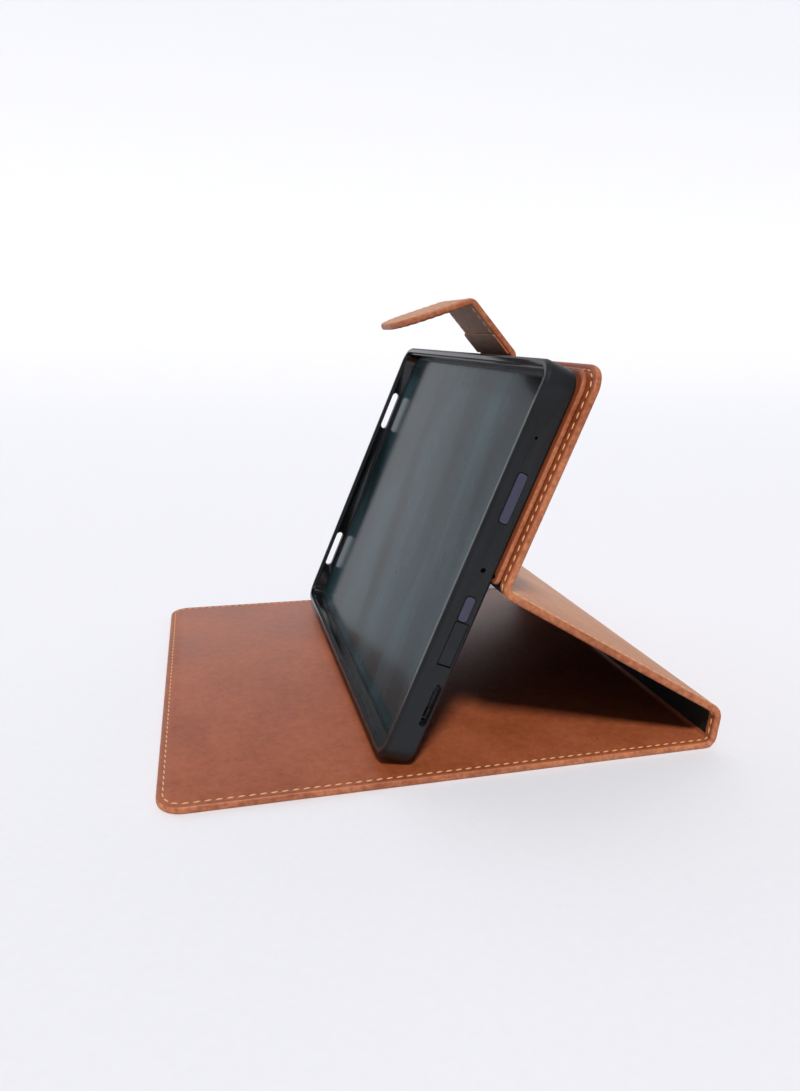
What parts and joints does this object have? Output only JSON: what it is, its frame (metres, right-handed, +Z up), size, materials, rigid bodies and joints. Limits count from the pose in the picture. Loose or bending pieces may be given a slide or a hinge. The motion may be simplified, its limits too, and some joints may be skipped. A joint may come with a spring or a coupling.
{
  "type": "e-reader in folio stand",
  "caption": "Slim e-reader in a moulded tray with a recessed screen, in a stitched leather folio that folds into a stand, with a creased closing tab.",
  "frame": {"origin": "middle of the folio's footprint on the surface that it stands on", "axes": "+X from the front leaf's free edge to the spine, +Y away from the reader's near side, +Z up"},
  "size_m": [0.2015, 0.188, 0.1608],
  "materials": {
    "leather_outer": "tanned, smooth grain",
    "leather_lining": "fine grain",
    "fibre_board": "pressed board",
    "nickel": "plated",
    "brass_contact": "satin",
    "foam": "closed cell",
    "tray_plastic": "moulded satin",
    "frame_alloy": "cast",
    "battery_wrap": "wrapped",
    "circuit_board": "solder resist",
    "flex_film": "polyimide",
    "display_film": "film",
    "light_guide": "clear",
    "screen_glass": "polished",
    "gasket_rubber": "moulded",
    "key_plastic": "moulded satin",
    "speaker_plastic": "moulded"
  },
  "bodies": {
    "front_leaf": {"front_outer_skin": "leather_outer", "front_board": "fibre_board", "front_lining": "leather_lining", "front_leaf_magnet": "nickel"},
    "spine": {"spine_skin": "leather_outer", "spine_board": "fibre_board", "spine_lining": "leather_lining"},
    "lower_back": {"lower_back_skin": "leather_outer", "lower_back_board": "fibre_board", "lower_back_lining": "leather_lining"},
    "upper_back": {"upper_back_skin": "leather_outer", "upper_back_board": "fibre_board", "upper_back_lining": "leather_lining", "mount_leather": "leather_outer", "mount_pad": "foam", "tray_shell": "tray_plastic", "mid_frame": "frame_alloy", "frame_screws": "nickel", "battery": "battery_wrap", "battery_tape": "foam", "main_board": "circuit_board", "shield_can": "nickel", "display_flex": "flex_film", "display_panel": "display_film", "light_guide": "light_guide", "cover_glass": "screen_glass", "bezel_gasket": "gasket_rubber", "key_switches": "brass_contact", "card_socket": "nickel", "usb_socket": "nickel", "microphone": "brass_contact", "speaker": "speaker_plastic", "antenna_strip": "flex_film"},
    "tab_bridge": {"tab_bridge_leather": "leather_outer", "tab_bridge_lining": "leather_lining"},
    "tab_flap": {"tab_flap_leather": "leather_outer", "tab_flap_lining": "leather_lining", "tab_magnet": "nickel"},
    "page_key": {"page_key": "key_plastic"},
    "power_key": {"power_key": "key_plastic"},
    "card_door": {"card_door": "tray_plastic"}
  },
  "joints": [
    {"name": "spine_fold", "type": "hinge", "parent": "front_leaf", "child": "spine", "pos_m": [0.0983, 0, 0.0014], "axis": [0, 1, 0], "range_deg": [0, 84.7]},
    {"name": "rear_fold", "type": "hinge", "parent": "spine", "child": "lower_back", "pos_m": [0.09951, 0, 0.01444], "axis": [0, 1, 0], "range_deg": [-0.5, 65.1]},
    {"name": "mid_fold", "type": "hinge", "parent": "lower_back", "child": "upper_back", "pos_m": [0.01215, 0, 0.06631], "axis": [0, 1, 0], "range_deg": [-81.8, 0.5]},
    {"name": "tab_fold", "type": "hinge", "parent": "upper_back", "child": "tab_bridge", "pos_m": [0.04185, 0, 0.13984], "axis": [0, 1, 0], "range_deg": [-15, 64.5]},
    {"name": "tab_crease", "type": "hinge", "parent": "tab_bridge", "child": "tab_flap", "pos_m": [0.02334, 0, 0.16004], "axis": [0, 1, 0], "range_deg": [-25, 66.4]},
    {"name": "page_key_press", "type": "slide", "parent": "upper_back", "child": "page_key", "axis": [0, 1, 0], "range_m": [0, 0.0005], "stiffness_N_per_m": 600},
    {"name": "power_key_press", "type": "slide", "parent": "upper_back", "child": "power_key", "axis": [0, 1, 0], "range_m": [0, 0.0005], "stiffness_N_per_m": 600},
    {"name": "card_door_swing", "type": "hinge", "parent": "upper_back", "child": "card_door", "pos_m": [-0.00651, -0.0889, 0.0415], "axis": [-0.9272, 0, 0.3746], "range_deg": [-95, 0]}
  ],
  "couplings": [
    {"joint": "rear_fold", "follows": "spine_fold", "ratio": 0.76269},
    {"joint": "mid_fold", "follows": "spine_fold", "ratio": -0.95986}
  ]
}
